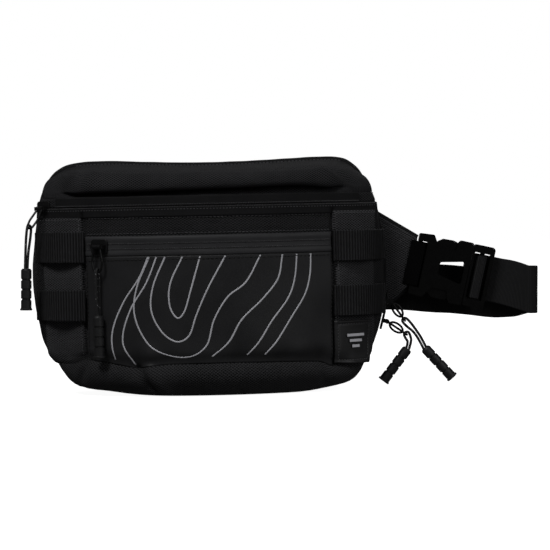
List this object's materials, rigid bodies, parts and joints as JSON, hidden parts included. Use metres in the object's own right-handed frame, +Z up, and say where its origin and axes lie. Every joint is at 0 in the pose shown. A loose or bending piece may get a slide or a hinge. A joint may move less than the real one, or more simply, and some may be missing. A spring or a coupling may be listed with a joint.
{
  "type": "zipped hip pack",
  "caption": "Soft zipped waist bag with a hinged lid, front pocket, webbing loops, padded wings and a belt with a side-release buckle.",
  "frame": {"origin": "middle of the flat base, below the upright line through the middle of the bag's width", "axes": "+Z up, +X to the buckle side, -Y towards the front pocket, +Y towards the wearer"},
  "size_m": [0.4316, 0.1139, 0.1915],
  "materials": {
    "shell_fabric": "matte ripstop weave",
    "back_fabric": "matte weave",
    "air_mesh": "open spacer mesh",
    "lining_fabric": "smooth light lining",
    "coated_fabric": "smooth coated, semi-matte",
    "piping": "matte binding",
    "zip_tape": "matte tape",
    "zip_coil": "satin coil",
    "strip_fabric": "matte weave",
    "webbing": "ribbed webbing",
    "badge_rubber": "satin moulded",
    "badge_print": "satin white",
    "wing_fabric": "matte weave",
    "belt_webbing": "fine webbing",
    "buckle_plastic": "satin moulded",
    "slider_metal": "dark painted",
    "ring_metal": "dark painted",
    "cord": "braided, with pale flecks",
    "grip_rubber": "matte moulded"
  },
  "bodies": {
    "bag": {"back_panel": "back_fabric", "back_pad_left": "air_mesh", "back_pad_right": "air_mesh", "top_piping": "piping", "front_panel": "shell_fabric", "left_side_panel": "shell_fabric", "right_side_panel": "shell_fabric", "bottom_gusset": "shell_fabric", "lining": "lining_fabric", "pocket_panel": "coated_fabric", "lid_zip_lower_tape": "zip_tape", "lid_zip_lower_coil": "zip_coil", "pocket_zip_tape": "zip_tape", "pocket_zip_coil": "zip_coil", "side_zip_tape": "zip_tape", "side_zip_coil": "zip_coil", "left_strip": "strip_fabric", "right_strip": "strip_fabric", "left_upper_loop": "webbing", "left_lower_loop": "webbing", "right_upper_loop": "webbing", "right_lower_loop": "webbing", "badge_patch": "badge_rubber", "badge_emblem": "badge_print", "right_wing": "wing_fabric", "left_wing": "wing_fabric", "wing_webbing": "belt_webbing", "buckle_female": "buckle_plastic", "belt_rear_run": "belt_webbing"},
    "lid": {"lid_panel": "shell_fabric", "lid_zip_upper_tape": "zip_tape", "lid_zip_upper_coil": "zip_coil"},
    "buckle_plug": {"buckle_male": "buckle_plastic", "belt_lock_turn": "belt_webbing", "belt_front_run": "belt_webbing", "belt_fold": "belt_webbing"},
    "upper_arm": {"buckle_arm_upper": "buckle_plastic"},
    "lower_arm": {"buckle_arm_lower": "buckle_plastic"},
    "lid_slider": {"lid_slider": "slider_metal"},
    "lid_ring": {"lid_ring": "ring_metal"},
    "lid_pull": {"lid_cord": "cord", "lid_grip": "grip_rubber"},
    "pocket_slider": {"pocket_slider": "slider_metal"},
    "pocket_ring": {"pocket_ring": "ring_metal"},
    "pocket_pull": {"pocket_cord": "cord", "pocket_grip": "grip_rubber"},
    "side_upper_slider": {"side_upper_slider": "slider_metal"},
    "side_upper_ring": {"side_upper_ring": "ring_metal"},
    "side_upper_pull": {"side_upper_cord": "cord", "side_upper_grip": "grip_rubber"},
    "side_lower_slider": {"side_lower_slider": "slider_metal"},
    "side_lower_ring": {"side_lower_ring": "ring_metal"},
    "side_lower_pull": {"side_lower_cord": "cord", "side_lower_grip": "grip_rubber"}
  },
  "joints": [
    {"name": "lid_hinge", "type": "hinge", "parent": "bag", "child": "lid", "pos_m": [0, 0.041, 0.19], "axis": [-1, 0, 0], "range_deg": [0, 105]},
    {"name": "buckle_slide", "type": "slide", "parent": "bag", "child": "buckle_plug", "axis": [0.9736, 0, -0.2284], "range_m": [0, 0.036]},
    {"name": "upper_arm_flex", "type": "hinge", "parent": "buckle_plug", "child": "upper_arm", "pos_m": [0.21839, 0.048, 0.10591], "axis": [0, -1, 0], "range_deg": [0, 5], "stiffness_Nm_per_rad": 0.35},
    {"name": "lower_arm_flex", "type": "hinge", "parent": "buckle_plug", "child": "lower_arm", "pos_m": [0.2114, 0.048, 0.07611], "axis": [0, 1, 0], "range_deg": [0, 5], "stiffness_Nm_per_rad": 0.35},
    {"name": "lid_slide", "type": "hinge", "parent": "bag", "child": "lid_slider", "pos_m": [0, 0.155, 0.1535], "axis": [0, 0, 1], "range_deg": [0, 83.6]},
    {"name": "lid_ring_swing", "type": "hinge", "parent": "lid_slider", "child": "lid_ring", "pos_m": [-0.13804, 0.00061, 0.1535], "axis": [-0.7455, 0.6665, 0], "range_deg": [0, 70]},
    {"name": "lid_grip_swing", "type": "hinge", "parent": "lid_ring", "child": "lid_pull", "pos_m": [-0.14625, -0.00857, 0.13774], "axis": [-0.7455, 0.6665, 0], "range_deg": [0, 45]},
    {"name": "pocket_slide", "type": "hinge", "parent": "bag", "child": "pocket_slider", "pos_m": [0, 0.155, 0.1218], "axis": [0, 0, 1], "range_deg": [0, 51.2]},
    {"name": "pocket_ring_swing", "type": "hinge", "parent": "pocket_slider", "child": "pocket_ring", "pos_m": [-0.08948, -0.03177, 0.1218], "axis": [-0.9018, 0.4321, 0], "range_deg": [0, 105]},
    {"name": "pocket_grip_swing", "type": "hinge", "parent": "pocket_ring", "child": "pocket_pull", "pos_m": [-0.08948, -0.03177, 0.1018], "axis": [-0.9018, 0.4321, 0], "range_deg": [0, 60]},
    {"name": "side_upper_slide", "type": "hinge", "parent": "bag", "child": "side_upper_slider", "pos_m": [-0.025, 0.03, 0.099], "axis": [0, -1, 0], "range_deg": [0, 22]},
    {"name": "side_upper_ring_swing", "type": "hinge", "parent": "side_upper_slider", "child": "side_upper_ring", "pos_m": [0.14972, 0.03, 0.07007], "axis": [0, -1, 0], "range_deg": [0, 50]},
    {"name": "side_upper_grip_swing", "type": "hinge", "parent": "side_upper_ring", "child": "side_upper_pull", "pos_m": [0.16119, 0.03, 0.05369], "axis": [0, -1, 0], "range_deg": [0, 30]},
    {"name": "side_lower_slide", "type": "hinge", "parent": "bag", "child": "side_lower_slider", "pos_m": [-0.025, 0.03, 0.099], "axis": [0, 1, 0], "range_deg": [0, 5.4]},
    {"name": "side_lower_ring_swing", "type": "hinge", "parent": "side_lower_slider", "child": "side_lower_ring", "pos_m": [0.14614, 0.03, 0.05346], "axis": [0, -1, 0], "range_deg": [-20, 0]},
    {"name": "side_lower_grip_swing", "type": "hinge", "parent": "side_lower_ring", "child": "side_lower_pull", "pos_m": [0.16253, 0.03, 0.04199], "axis": [0, -1, 0], "range_deg": [0, 10]}
  ],
  "couplings": [
    {"joint": "lower_arm_flex", "follows": "upper_arm_flex", "ratio": 1}
  ]
}
